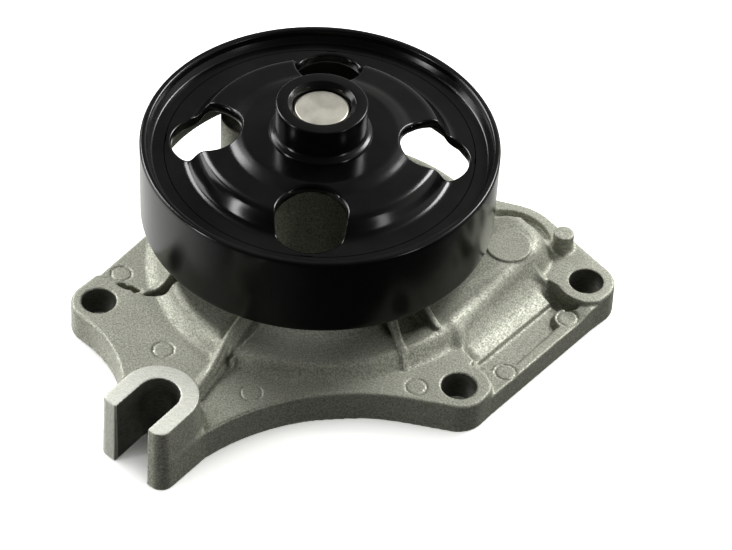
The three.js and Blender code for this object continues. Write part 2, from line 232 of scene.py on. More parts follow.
def lathe_marks(tree, pitch, wobble=0.0004):
    """Fine rings about the Z axis, as a turning tool leaves them: 0 to 1."""
    place = tree.nodes.new("ShaderNodeTexCoord")
    split = tree.nodes.new("ShaderNodeSeparateXYZ")
    tree.links.new(place.outputs["Object"], split.inputs["Vector"])
    x, y, z = (split.outputs[k] for k in "XYZ")
    radius = math_node(tree, "POWER", added(tree, times(tree, x, x), times(tree, y, y)), 0.5)
    shifted = added(tree, added(tree, radius, z), times(tree, noise(tree, 90, 2), wobble))
    wave = math_node(tree, "SINE", times(tree, shifted, 2 * math.pi / pitch))
    return spread(tree, wave, 0.0, 1.0, -1.0, 1.0)


def turned_finish(name, dark, light, rough, pitch, bump=0.12):
    """Bright metal from a lathe or grinder: rings, faint smears and a little grain."""
    made, tree, shader = nodes_of(name)
    rings = lathe_marks(tree, pitch)
    fine = spread(tree, noise(tree, 2600, 3), 0.0, 0.3)
    slow = spread(tree, noise(tree, 160, 4), 0.0, 0.35)
    share = added(tree, times(tree, rings, 0.35), added(tree, fine, slow))
    tinted(tree, shader, dark, light, share)
    roughened(tree, shader, share, *rough, 0.2, 0.8)
    shader.inputs["Metallic"].default_value = 1.0
    bumped(tree, shader, rings, bump, 0.00002)
    return made


def cast_finish():
    """Blasted die-cast aluminium: a fine sparkling grain over slow patches of tone and small pits."""
    made, tree, shader = nodes_of("cast_aluminium_blasted")
    grit = noise(tree, 2000, 2.5, 0.7)
    pits = noise(tree, 900, 3, 0.6)
    slow = noise(tree, 38, 5, 0.6)
    patches = added(tree, spread(tree, pits, 0.0, 0.2), spread(tree, slow, 0.0, 0.22))
    share = added(tree, spread(tree, grit, 0.0, 0.6, 0.38, 0.62), patches)
    tinted(tree, shader, (0.235, 0.241, 0.199), (0.69, 0.70, 0.60), share)
    roughened(tree, shader, share, 0.62, 0.44, 0.1, 0.9)
    shader.inputs["Metallic"].default_value = 0.45
    bumped(tree, shader, added(tree, grit, pits), 0.55, 0.0001)
    return made


def machined_finish():
    """Milled faces of the casting: brighter, smoother, with faint cutter arcs."""
    made, tree, shader = nodes_of("cast_aluminium_machined")
    arcs = noise(tree, 500, 2, 0.5, (1.0, 6.0, 1.0))
    grit = noise(tree, 2600, 2, 0.6)
    share = added(tree, spread(tree, arcs, 0.0, 0.4), spread(tree, grit, 0.0, 0.6))
    tinted(tree, shader, (0.56, 0.565, 0.51), (0.86, 0.865, 0.79), share)
    roughened(tree, shader, share, 0.64, 0.48, 0.1, 0.9)
    shader.inputs["Metallic"].default_value = 0.5
    bumped(tree, shader, share, 0.2, 0.00004)
    return made


def bore_shade_finish():
    """Reamed and sawn inner walls: dull, and darkened as painted shade where the holes' own shadow falls,
    with lines round them.
    """
    made, tree, shader = nodes_of("cast_aluminium_bore_shade")
    lines = noise(tree, 600, 2, 0.5, (1.0, 1.0, 6.0))
    slow = noise(tree, 60, 4, 0.6)
    share = added(tree, spread(tree, lines, 0.0, 0.5), spread(tree, slow, 0.0, 0.5))
    tinted(tree, shader, (0.09, 0.092, 0.078), (0.28, 0.284, 0.245), share)
    roughened(tree, shader, share, 0.62, 0.44, 0.1, 0.9)
    shader.inputs["Metallic"].default_value = 0.7
    bumped(tree, shader, lines, 0.25, 0.00005)
    return made


def paint_finish():
    """Semi-gloss black dip paint with slight orange peel and a dusting of specks."""
    made, tree, shader = nodes_of("black_dip_paint")
    peel = noise(tree, 420, 2, 0.5)
    slow = noise(tree, 50, 4, 0.6)
    speck = spread(tree, noise(tree, 3200, 2, 0.5), 0.0, 1.0, 0.74, 0.80)
    share = added(tree, times(tree, speck, 0.8), spread(tree, slow, 0, 0.2))
    tinted(tree, shader, (0.003, 0.003, 0.0032), (0.034, 0.034, 0.032), share)
    roughened(tree, shader, added(tree, slow, speck), 0.17, 0.3, 0.3, 1.2)
    shader.inputs["Specular IOR Level"].default_value = 0.5
    bumped(tree, shader, peel, 0.1, 0.00006)
    return made


FINISH = {
    "cast": cast_finish(),
    "machined": machined_finish(),
    "bore_shade": bore_shade_finish(),
    "paint": paint_finish(),
    "steel": turned_finish("ground_steel", (0.40, 0.385, 0.335), (0.70, 0.68, 0.61), (0.38, 0.54), 0.0003),
    "race": turned_finish(
        "polished_bearing_steel", (0.50, 0.50, 0.50), (0.68, 0.68, 0.68), (0.14, 0.26), 0.0004, 0.05
    ),
    "brass": turned_finish("pressed_brass", (0.42, 0.28, 0.10), (0.66, 0.48, 0.20), (0.26, 0.42), 0.0009),
    "rubber": moulded_finish(
        "nitrile_rubber", (0.010, 0.010, 0.010), (0.030, 0.030, 0.029), (0.62, 0.8), 1800, 0.3, 0.00006
    ),
    "carbon": moulded_finish(
        "lapped_carbon", (0.018, 0.018, 0.019), (0.05, 0.05, 0.052), (0.34, 0.5), 2600, 0.15, 0.00003
    ),
    "ceramic": moulded_finish(
        "lapped_ceramic", (0.72, 0.70, 0.64), (0.86, 0.84, 0.78), (0.2, 0.34), 1500, 0.06, 0.00002
    ),
    "nylon": moulded_finish(
        "moulded_nylon", (0.045, 0.095, 0.055), (0.075, 0.145, 0.085), (0.42, 0.58), 1400, 0.15, 0.00005
    ),
}


# ---------------------------------------------------------------- meshes


def piece(name, points, faces, finish, body, node, normals=None):
    """A mesh from points in millimetres above the gasket face, riding on a body in a node's place."""
    mesh = bpy.data.meshes.new(name)
    placed = (np.asarray(points, float) - (0, 0, NOSE_HEIGHT)) * MM
    mesh.from_pydata(placed.tolist(), [], [list(map(int, f)) for f in faces])
    mesh.update()
    mesh.shade_smooth()
    if normals is not None:
        mesh.normals_split_custom_set_from_vertices(normals.tolist())
    made = bpy.data.objects.new(name, mesh)
    bpy.context.scene.collection.objects.link(made)
    mesh.materials.append(FINISH[finish])
    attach(made, body)
    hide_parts(node)
    return made


def rounded(profile, radii, steps=5):
    """A closed profile with each corner replaced by an arc of its own radius."""
    out = []
    count = len(profile)
    for i, (corner, radius) in enumerate(zip(profile, radii)):
        here = np.array(corner, float)
        back = np.array(profile[i - 1], float) - here
        ahead = np.array(profile[(i + 1) % count], float) - here
        lengths = np.linalg.norm(back), np.linalg.norm(ahead)
        back, ahead = back / lengths[0], ahead / lengths[1]
        half = math.acos(max(-1.0, min(1.0, float(back @ ahead)))) / 2
        reach = min(radius / math.tan(half), 0.49 * min(lengths)) if radius else 0
        if reach < 1e-4 or half > math.radians(88):
            out.append(here)
            continue
        r = reach * math.tan(half)
        bisector = (back + ahead) / np.linalg.norm(back + ahead)
        centre = here + bisector * (r / math.sin(half))
        start = here + back * reach - centre
        end = here + ahead * reach - centre
        for k in range(steps + 1):
            t = k / steps
            swing = math.pi - 2 * half
            mixed = math.sin((1 - t) * swing) * start + math.sin(t * swing) * end
            out.append(centre + mixed / math.sin(swing))
    return np.array(out)


def lathe(profile, turns=TURNS):
    """Points and faces of a closed [radius, height] profile turned round the axis."""
    profile = np.asarray(profile, float)
    angles = np.arange(turns) * (2 * math.pi / turns)
    count = len(profile)
    points = np.empty((turns, count, 3))
    points[:, :, 0] = np.cos(angles)[:, None] * profile[None, :, 0]
    points[:, :, 1] = np.sin(angles)[:, None] * profile[None, :, 0]
    points[:, :, 2] = profile[None, :, 1]
    i = np.arange(turns)[:, None]
    j = np.arange(count)[None, :]
    nxt_i, nxt_j = (i + 1) % turns, (j + 1) % count
    corners = [i * count + j, nxt_i * count + j, nxt_i * count + nxt_j, i * count + nxt_j]
    return points.reshape(-1, 3), np.stack(corners, axis=-1).reshape(-1, 4)


def welded(points, faces, within=1e-5):
    """Points merged where they coincide, and faces with their repeated corners dropped."""
    cells = np.round(np.asarray(points) / within).astype(np.int64)
    keys, index = np.unique(cells, axis=0, return_inverse=True)
    index = index.reshape(-1)
    first = np.zeros(len(keys), int)
    first[index[::-1]] = np.arange(len(points))[::-1]
    kept = []
    for face in faces:
        ring = [int(index[f]) for f in face]
        ring = [v for k, v in enumerate(ring) if v != ring[k - 1]]
        if len(ring) > 2:
            kept.append(ring)
    return np.asarray(points)[first], kept


def turned_piece(name, profile, radii, finish, body, node, turns=TURNS, steps=5):
    """A lathed ring or disc whose corners are rounded; a profile on the axis closes in a fan."""
    if isinstance(radii, (int, float)):
        radii = [0 if r == 0 else radii for r, _ in profile]
    points, faces = welded(*lathe(rounded(profile, radii, steps), turns))
    return piece(name, points, faces, finish, body, node)


# ---------------------------------------------------------------- housing as a distance field

LOW = np.array([-75.0, -96.0, -3.0])
HIGH = np.array([94.0, 53.0, 51.5])
COUNTS = np.ceil((HIGH - LOW) / VOXEL).astype(int)
AXES = [(LOW[k] + VOXEL * np.arange(COUNTS[k])).astype(np.float32) for k in range(3)]
PLAN_X, PLAN_Y = np.meshgrid(AXES[0], AXES[1], indexing="ij")
HEIGHT = AXES[2][None, None, :]
PLAN_R = np.hypot(PLAN_X, PLAN_Y)


def polar(r, degrees):
    a = math.radians(degrees)
    return (r * math.cos(a), r * math.sin(a))


def edge_point(s, n):
    """A point along (s) and across (n) the housing's straight right-hand edge."""
    c, d = math.cos(EDGE_ANGLE), math.sin(EDGE_ANGLE)
    return (c * s + d * n, d * s - c * n)


def slot_point(s, n):
    """A point along (s) and across (n) the open slot, s running out of its mouth."""
    c, d = math.cos(SLOT_ANGLE), math.sin(SLOT_ANGLE)
    return (SLOT_AT[0] + c * s - d * n, SLOT_AT[1] + d * s + c * n)


EDGE_S = math.cos(EDGE_ANGLE) * PLAN_X + math.sin(EDGE_ANGLE) * PLAN_Y
EDGE_N = math.sin(EDGE_ANGLE) * PLAN_X - math.cos(EDGE_ANGLE) * PLAN_Y


def tangent_path(circles, step=4.0):
    """Points round a row of circles joined by their tangents; a negative radius is a hollow."""
    lines = []
    for (x, y, r), (nx, ny, nr) in zip(circles, circles[1:] + circles[:1]):
        lean = math.asin((nr - r) / math.hypot(nx - x, ny - y))
        lines.append(math.atan2(ny - y, nx - x) - lean)
    points = []
    for i, (x, y, r) in enumerate(circles):
        turn = lines[i] - lines[i - 1]
        turn -= 2 * math.pi * round(turn / (2 * math.pi))
        if r > 0 and turn < 0:
            turn += 2 * math.pi
        count = max(1, math.ceil(abs(turn) / math.radians(step)))
        for k in range(count + 1):
            a = lines[i - 1] + turn * k / count
            points.append((x + r * math.sin(a), y - r * math.cos(a)))
    return points


def outline(points):
    """Signed distance in plan to a closed outline, negative inside."""
    nearest = np.full(PLAN_X.shape, 1e9, np.float32)
    sign = np.ones(PLAN_X.shape, np.float32)
    for (ax, ay), (bx, by) in zip(points, points[1:] + points[:1]):
        ex, ey = bx - ax, by - ay
        length2 = ex * ex + ey * ey
        if length2 < 1e-12:
            continue
        wx, wy = PLAN_X - ax, PLAN_Y - ay
        t = np.clip((wx * ex + wy * ey) / length2, 0, 1)
        np.minimum(nearest, (wx - ex * t) ** 2 + (wy - ey * t) ** 2, out=nearest)
        below, above = ay <= PLAN_Y, PLAN_Y < by
        left = ex * wy > ey * wx
        flip = (below & above & left) | (~below & ~above & ~left)
        sign[flip] *= -1
    return sign * np.sqrt(nearest)


def disc(at, r):
    return np.hypot(PLAN_X - at[0], PLAN_Y - at[1]) - r


def bar(start, end, half):
    """Plan distance to a straight bar with square-cut sides and round ends."""
    ex, ey = end[0] - start[0], end[1] - start[1]
    wx, wy = PLAN_X - start[0], PLAN_Y - start[1]
    t = np.clip((wx * ex + wy * ey) / (ex * ex + ey * ey), 0, 1)
    return np.hypot(wx - ex * t, wy - ey * t) - half


def edge_box(s0, s1, n0, n1, r):
    """A rounded box in plan, squared to the housing's straight edge."""
    ds = np.abs(EDGE_S - (s0 + s1) / 2) - ((s1 - s0) / 2 - r)
    dn = np.abs(EDGE_N - (n0 + n1) / 2) - ((n1 - n0) / 2 - r)
    outside = np.hypot(np.maximum(ds, 0), np.maximum(dn, 0))
    return outside + np.minimum(np.maximum(ds, dn), 0) - r


def smooth_step(value, low, high):
    t = np.clip((value - low) / (high - low), 0, 1)
    return t * t * (3 - 2 * t)


def meet(a, b, r):
    """Where two solids overlap, the shared edge rounded to radius r."""
    inner = np.minimum(np.maximum(a, b), -r)
    return inner + np.sqrt(np.maximum(a + r, 0) ** 2 + np.maximum(b + r, 0) ** 2)


def fillet(a, b, r):
    """Two solids joined, with a fillet of radius r in the corner between them."""
    return -meet(-a, -b, r)


def union(a, b, r):
    return np.minimum(a, b) if isinstance(r, (int, float)) and r == 0 else fillet(a, b, r)


casting = np.full(COUNTS, 20.0, np.float32)


def window(plan, reach):
    """The part of the grid that a plan outline, grown by reach, touches."""
    near = plan < reach + 3 * VOXEL
    across = np.flatnonzero(near.any(1))
    along = np.flatnonzero(near.any(0))
    return slice(across[0], across[-1] + 1), slice(along[0], along[-1] + 1)


def deep(plan, where):
    """A value for each place in plan, cut to the window and ready to meet the heights."""
    return plan[where][:, :, None] if isinstance(plan, np.ndarray) else plan


def add(plan, high, top=0.6, lean=1.5, at=0.0, r=0.8):
    """Joins an upright solid: its plan is true at height at, and its walls lean in going up."""
    lean = math.radians(lean)
    w = window(plan, r + at * math.tan(lean))
    side = (deep(plan, w) + (HEIGHT - at) * math.tan(lean)) * math.cos(lean)
    solid = np.maximum(meet(side, HEIGHT - deep(high, w), deep(top, w)), -HEIGHT)
    casting[w] = union(casting[w], solid, deep(r, w))


def sink(plan, floor, corner=0.8, lean=3.0, edge=0.4):
    """Cuts a pocket that is open upwards: its plan is true at its floor."""
    lean = math.radians(lean)
    w = window(plan, edge)
    floor = deep(floor, w)
    side = (deep(plan, w) - (HEIGHT - floor) * math.tan(lean)) * math.cos(lean)
    casting[w] = meet(casting[w], -meet(side, floor - HEIGHT, corner), edge)


def bore(plan, low, high, corner=0.3, edge=0.35):
    """Cuts an upright hole between two heights."""
    w = window(plan, edge)
    side = deep(plan, w) + 0 * HEIGHT
    space = meet(meet(side, HEIGHT - high, corner), low - HEIGHT, corner)
    casting[w] = meet(casting[w], -space, edge)


def flange_outline():
    circles = [
        (*BOLTS["left"], LEFT_LOBE_R),
        (-88.9, -67.3, -37.6),
        (*slot_point(7.8, -8.4), ARM_R_LEFT),
        (*slot_point(7.8, 8.4), ARM_R_RIGHT),
        (18.8, -125.8, -64.2),
        (*BOLTS["front"], LOBE_R),
        (*edge_point(-14, 81.0), -4),
        (*edge_point(33, 82.3), -4),
        (*BOLTS["right"], LOBE_R),
        (56.2, 4.7, 17.5),
        (46.5, 37.5, -12),
        (0, 0, 47),
        (*REAR_BOSS, REAR_BOSS_R),
        (-35.1, 29.9, -3),
        (-66.5, -18.5, -3),
    ]
    return outline(tangent_path(circles))


def slot_arms():
    """The two arms' outer corners; the right-hand one reaches further and is rounder."""
    outer = SLOT_R + SLOT_WALL
    return [
        (*slot_point(SLOT_REACH_LEFT - ARM_R_LEFT, ARM_R_LEFT - outer), ARM_R_LEFT),
        (*slot_point(SLOT_REACH_RIGHT - ARM_R_RIGHT, outer - ARM_R_RIGHT), ARM_R_RIGHT),
    ]


def slot_outline():
    return outline(tangent_path([(*SLOT_AT, SLOT_R + SLOT_WALL), *slot_arms()]))


def slot_hole():
    """The slot's inside, run out past its mouth."""
    mouth, corner = SLOT_REACH_RIGHT + 8, 0.1
    ends = [(*slot_point(mouth, side * (SLOT_R - corner)), corner) for side in (-1, 1)]
    return outline(tangent_path([(*slot_point(0, 0), SLOT_R), *ends]))


def flange():
    """The flat flange, its lower decks, and the pockets along the straight edge."""
    plan = flange_outline()
    add(plan, FLANGE_TOP, top=0.7, lean=1.2, r=0)
    # the lower plate behind the left lobe
    plate = outline([(-75, -19), (-62, -19.5), (-47, -24.5), (-30, -10), (-20, 60), (-75, 60)])
    plate = np.maximum(plate, -disc(BOLTS["left"], LEFT_LOBE_R + 0.3))
    sink(plate, PLATE_TOP, corner=0.5, lean=8)
    # the lower strip along the straight edge, which rises to the right lobe
    right_lobe = disc(BOLTS["right"], LOBE_R + 0.5)
    strip = np.maximum(edge_box(-18, 40, 66, 95, 1), -right_lobe)
    strip = np.maximum(strip, -disc(BOLTS["front"], LOBE_R + 0.9))
    strip_top = STRIP_TOP + 1.3 * smooth_step(EDGE_S, 26, 33)
    sink(strip, strip_top.astype(np.float32), corner=0.5, lean=8)
    # the valley at the scroll's foot
    valley = bar(edge_point(9.5, 68), edge_point(60, 68), 17.0)
    valley = np.maximum(np.maximum(valley, edge_box(-40, 32.4, 45, 68, 5)), -right_lobe)
    sink(valley, VALLEY_FLOOR, corner=1.2, lean=8, edge=0.5)
    # the panel between them, with a round pad standing into it at each end
    panel = np.maximum(edge_box(-5.6, 34, 61, 73.8, 1.5), -right_lobe)
    for pad in (PAD_FRONT, PAD_RIGHT):
        panel = np.maximum(panel, -disc(pad, PAD_R))
    panel = np.maximum(panel, 65.5 + 0.03 * EDGE_S - EDGE_N)
    sink(panel, PANEL_FLOOR, corner=0.5, lean=6, edge=0.3)
    pit = np.maximum(edge_box(28.4, 32.4, 60.5, 73.4, 1.9), -right_lobe)
    sink(pit, PIT_FLOOR, corner=0.6, edge=0.5)


def scroll():
    """The scroll's roof: a step out at the rib, one radius round the front, then the straight run."""
    front = outline([(0, 0), polar(95, RIB_ANGLE), polar(120, 290), (120, -20), (120, 12), (57, 12)])
    right = outline(tangent_path([(0, 0, 56.4), OUTLET], 2.0))
    left = disc((5, -7.5), 50.2)
    back = outline(tangent_path([(0, 0, 43.5), OUTLET, (50, 37, -18)]))
    rise = smooth_step(EDGE_S, 4, 30) * smooth_step(EDGE_N, 25, 45)
    fall = np.clip(50 - PLAN_R, 0, 40) * 0.035
    roof = SCROLL_ROOF + (DISCHARGE_ROOF - SCROLL_ROOF) * rise - fall
    # the foot is soft along the valley, and the crest is crisper round the front
    along_valley = smooth_step(EDGE_S, -9, -3) * (1 - smooth_step(EDGE_S, 31.5, 34))
    foot = (1.5 + 5.0 * along_valley * smooth_step(EDGE_N, 48, 52)).astype(np.float32)
    crest = (1.2 + 1.1 * smooth_step(EDGE_S, -16, -4)).astype(np.float32)
    middle = 12.2
    add(np.maximum(left, -front), roof, top=1.6, lean=32, at=middle, r=2.5)
    add(np.maximum(right, front), roof, top=crest, lean=27, at=middle, r=foot)
    add(np.maximum(back, front), roof, top=1.6, lean=25, at=middle, r=1.0)
    add(disc(OUTLET[:2], 10.9), DISCHARGE_ROOF, top=3.4, lean=24, at=13.0, r=0.7)
    add(disc((55.2, 1.6), 10.0), DISCHARGE_ROOF - 0.8, top=3.0, lean=40, at=13.0, r=0.4)


def upper_right():
    """The crescent sunk behind the outlet dome, and the locating pin with its bump."""
    crescent = np.maximum(disc((56.2, 4.7), 13.8), -disc((56.0, 4.2), 11.4))
    crescent = np.maximum(crescent, np.maximum(46.5 - PLAN_X, 7.0 - PLAN_Y))
    sink(crescent, 8.2, corner=0.3, lean=2, edge=0.3)
    add(disc(PIN_AT, PIN_R), PIN_TOP, top=0.35, lean=0.8, r=0.9)
    add(disc((67.6, 4.6), 1.0), FLANGE_TOP + 0.6, top=0.4, lean=10, r=0.4)


def ribs():
    """The bearing tower and the ribs that stand between it and the flange."""
    hollow = [polar(27, 303), polar(46.5, 300.5), polar(47.5, 307), polar(47.5, 314), polar(27, 309)]
    sink(outline(hollow), 11.6, corner=1.2, lean=32, edge=1.2)
    add(disc((0, 0), TOWER_R + 1.4), TOWER_TOP, top=0.7, lean=1.7, r=4.0)
    add(disc(REAR_BOSS, REAR_BOSS_R), REAR_BOSS_TOP, top=0.7, lean=0.0, r=1.5)
    strut_top = 40 - 0.5 * np.hypot(PLAN_X + 14, PLAN_Y - 12)
    add(bar((-14, 12), REAR_BOSS, 2.5), strut_top, top=1.0, r=2.0)
    # the main rib, and the thin ridge beside it
    rib_top = SCROLL_ROOF + 2.6 + 7.0 * smooth_step(-PLAN_R, -48, -24) ** 2
    rib_top = rib_top - 4.6 * smooth_step(PLAN_R, 51, 66)
    add(bar((-9, -17.5), (-30.2, -65.5), 1.4), rib_top, top=1.4, lean=3, at=16, r=1.3)
    ridge_top = SCROLL_ROOF + 0.9 - 2.5 * smooth_step(PLAN_R, 52, 58)
    add(bar((-11.5, -38), (-21.6, -54), 0.45), ridge_top, top=0.4, lean=6, at=12, r=0.3)
    # the two fins, over the hollow between them
    fin_top = SCROLL_ROOF + 1.0 + 0.36 * np.clip(53 - PLAN_R, 0, 30)
    fin_top = fin_top - 1.5 * np.clip(PLAN_R - 55, 0, 9)
    for start, end in (((14.5, -10.5), (27.9, -50.5)), ((16, -8.8), (36.6, -37.9))):
        add(bar(start, end, 1.0), fin_top, top=0.25, at=14, r=0.4)


def slot_boss():
    add(slot_outline(), SLOT_BOSS_TOP, top=0.25, lean=2.2, at=SLOT_BOSS_TOP, r=1.6)


def left_pits():
    """The wedge and the hook-shaped hollow between the left lobe's deck and the lower plate."""
    add(bar((-48.6, -25.7), (-33.5, -14.6), 0.7), 10.0, top=0.4, lean=6, at=10, r=0.5)
    wedge = [(-48.9, -27), (-42.4, -26.9), (-38, -23.6), (-31, -16), (-32, -14), (-41, -22), (-44.8, -24.7)]
    sink(outline(wedge), 4.0, corner=0.3, lean=1, edge=0.3)
    hook = [(-57.1, -22.9), (-54.6, -24.7), (-52.5, -25), (-51.6, -26.2), (-50, -25.4)]
    hook += [(-50.3, -23.5), (-52.4, -22.1)]
    sink(outline(hook), 5.0, corner=0.3, lean=1, edge=0.3)


EJECTOR_MARKS = {
    (-41.0, -48.7): FLANGE_TOP,
    (-14.9, -63.5): FLANGE_TOP,
    (31.3, -57.4): FLANGE_TOP,
    (-56.3, -17.2): PLATE_TOP,
    PAD_FRONT: STRIP_TOP,
    PAD_RIGHT: STRIP_TOP,
}


def marks():
    """Round ejector marks, a little proud of the decks, each in a fine groove."""
    for at, deck in EJECTOR_MARKS.items():
        ring = np.abs(disc(at, 3.0)) - 0.16
        sink(ring, deck - 0.36, corner=0.05, lean=10, edge=0.05)
    add(disc(DISC_PAD_AT, DISC_PAD_R), DISCHARGE_ROOF + 0.5, top=0.2, lean=0, r=0.1, at=16)


def wet_side():
    """Impeller chamber, scroll, seal bore, weep hole and bearing bore, and the bolt holes."""
    np.maximum(casting, -HEIGHT, out=casting)
    passage = outline(tangent_path([(5, -9, 34), (56, -1.5, 7.5)]))
    bore(passage, -5, FLANGE_TOP - 0.5, corner=2.2, edge=0.6)
    bore(disc((0, 0), CHAMBER_R), -5, CHAMBER_ROOF, corner=0.5)
    bore(disc((0, 0), SEAL_BORE_R), 0, SEAL_BORE_TOP)
    bore(disc((0, 0), SEAL_BORE_R - 2.6), 0, WEEP_TOP + 1)
    bore(disc((0, 0), RACE_BORE_R), WEEP_TOP, TOWER_TOP + 9)
    side = np.hypot(PLAN_X[:, :1][:, :, None], HEIGHT - (SEAL_BORE_TOP + WEEP_TOP) / 2)
    weep = np.maximum(side - WEEP_R, 8 - PLAN_Y[:1, :][:, :, None])
    np.copyto(casting, meet(casting, -weep.astype(np.float32), 0.3))
    for at in [*BOLTS.values(), REAR_BOSS]:
        bore(disc(at, BOLT_HOLE_R), -5, 60)
    bore(slot_hole(), -5, 60, edge=0.3)


def sampled(field, points):
    """The field's value at each point, by trilinear interpolation."""
    at = (points - LOW) / VOXEL
    base = np.clip(np.floor(at).astype(int), 0, COUNTS - 2)
    t = at - base
    total = np.zeros(len(points))
    for corner in np.ndindex(2, 2, 2):
        weight = np.prod(np.where(corner, t, 1 - t), axis=1)
        i, j, k = (base + corner).T
        total += weight * field[i, j, k]
    return total


def gradient(field, points, reach):
    out = np.empty((len(points), 3))
    for axis in range(3):
        step = np.zeros(3)
        step[axis] = reach
        out[:, axis] = sampled(field, points + step) - sampled(field, points - step)
    return out / (2 * reach)


def housing_mesh():
    """The zero level of the casting's field, its points drawn onto it and its normals taken from it."""
    near = np.clip(casting, -3 * VOXEL, 3 * VOXEL)
    grid = openvdb.FloatGrid(3 * VOXEL)
    grid.copyFromArray(near)
    points, quads = grid.convertToQuads(0.0)
    points = np.asarray(points, float) * VOXEL + LOW
    for _ in range(2):
        slope = gradient(near, points, 0.5 * VOXEL)
        size = np.maximum((slope**2).sum(1), 0.2)
        move = slope * (sampled(near, points) / size)[:, None]
        points -= np.clip(move, -0.5 * VOXEL, 0.5 * VOXEL)
    normals = gradient(near, points, 0.6 * VOXEL)
    normals /= np.maximum(np.linalg.norm(normals, axis=1), 1e-6)[:, None]
    quads = np.asarray(quads)
    a, b, c = (points[quads[:, k]] for k in range(3))
    facing = (np.cross(b - a, c - a) * normals[quads[:, 0]]).sum()
    if facing < 0:
        quads = quads[:, ::-1]
    return points, quads, normals


def housing():
    flange()
    upper_right()
    scroll()
    left_pits()
    ribs()
    slot_boss()
    marks()
    wet_side()
    points, quads, normals = housing_mesh()
    made = piece("housing_casting", points, quads, "cast", "housing", "pump_body", normals)
    made.data.materials.append(FINISH["machined"])
    made.data.materials.append(FINISH["bore_shade"])
    middle = points[quads].mean(1)
    up = normals[quads].mean(1)[:, 2]
    milled = (middle[:, 2] > SLOT_BOSS_TOP - 0.2) & (middle[:, 2] < SLOT_BOSS_TOP + 0.3)
    milled &= np.hypot(middle[:, 0] - SLOT_AT[0], middle[:, 1] - SLOT_AT[1]) < 20
    across = middle[:, :2] - SLOT_AT
    out_of_mouth = across @ (math.cos(SLOT_ANGLE), math.sin(SLOT_ANGLE))
    beside = across @ (-math.sin(SLOT_ANGLE), math.cos(SLOT_ANGLE))
    milled |= (out_of_mouth > SLOT_REACH_LEFT - 0.2) & (beside < 0)
    milled |= middle[:, 2] < 0.15
    # the walls of the bolt holes and the slot take the dark bore colour, which is painted shade
    bore_shade = (np.abs(beside) < SLOT_R + 0.12) & (middle[:, 2] < SLOT_BOSS_TOP - 0.1)
    bore_shade &= (out_of_mouth > -SLOT_R - 0.2) & (out_of_mouth < SLOT_REACH_RIGHT) & ~milled
    for at in [*BOLTS.values(), REAR_BOSS]:
        bore_shade |= np.hypot(middle[:, 0] - at[0], middle[:, 1] - at[1]) < BOLT_HOLE_R + 0.1
    milled |= (np.hypot(middle[:, 0], middle[:, 1]) < RACE_BORE_R + 0.1) & (middle[:, 2] > 8)
    milled |= (middle[:, 2] > TOWER_TOP - 0.1) & (up > 0.9)
    made.data.polygons.foreach_set("material_index", np.where(bore_shade, 2, milled).astype(np.int32))
    return made


housing()


# ---------------------------------------------------------------- pulley, hub and shaft


def rolled(distance, radius):
    """How far a punched edge has rolled down at a distance inside its outline."""
    d = np.clip(distance, 0, radius)
    return radius - np.sqrt(np.maximum(radius**2 - (radius - d) ** 2, 0))


PULLEY_TOP = [
    (13.0, 3.2),
    (22.3, 3.2),
    (24.6, 2.75),
    (26.8, 2.15),
    (33.4, 1.85),
    (34.9, 1.45),
    (36.0, 0.2),
    (37.4, -2.3),
    (38.4, -3.4),
    (39.7, -LEDGE_DROP),
    (46.0, -LEDGE_DROP),
]
WEB_INNER_R = HUB_SPIGOT_R + 0.1
WEB_OUTER_R = 45.0
PUNCH_R = 0.7


def smooth_profile(knots, count=240, passes=5):
    """Radii and heights through a row of knots, its corners eased."""
    radii = np.linspace(knots[0][0], knots[-1][0], count)
    heights = np.interp(radii, *np.array(knots).T)
    for _ in range(passes):
        heights[1:-1] = (heights[:-2] + 2 * heights[1:-1] + heights[2:]) / 4
    return radii, heights


WEB_PROFILE = smooth_profile(PULLEY_TOP)


def window_centres():
    return [polar(WINDOW_PITCH_R, 90 * i + WINDOW_TURN) for i in range(4)]


def meshed(spots, edges):
    """Flat points and triangles through the spots, keeping the given edges."""
    verts, _, faces, *_ = delaunay_2d_cdt([Vector(p) for p in spots], edges, [], 0, 1e-6)
    return np.array([tuple(v) for v in verts]), np.array(faces)


def wound_up(flat, faces):
    """Triangles that all turn anticlockwise, and twice the area of each."""
    a, b, c = (flat[faces[:, k]] for k in range(3))
    area = (b[:, 0] - a[:, 0]) * (c[:, 1] - a[:, 1]) - (b[:, 1] - a[:, 1]) * (c[:, 0] - a[:, 0])
    faces[area < 0] = faces[area < 0][:, ::-1]
    return faces, np.abs(area)


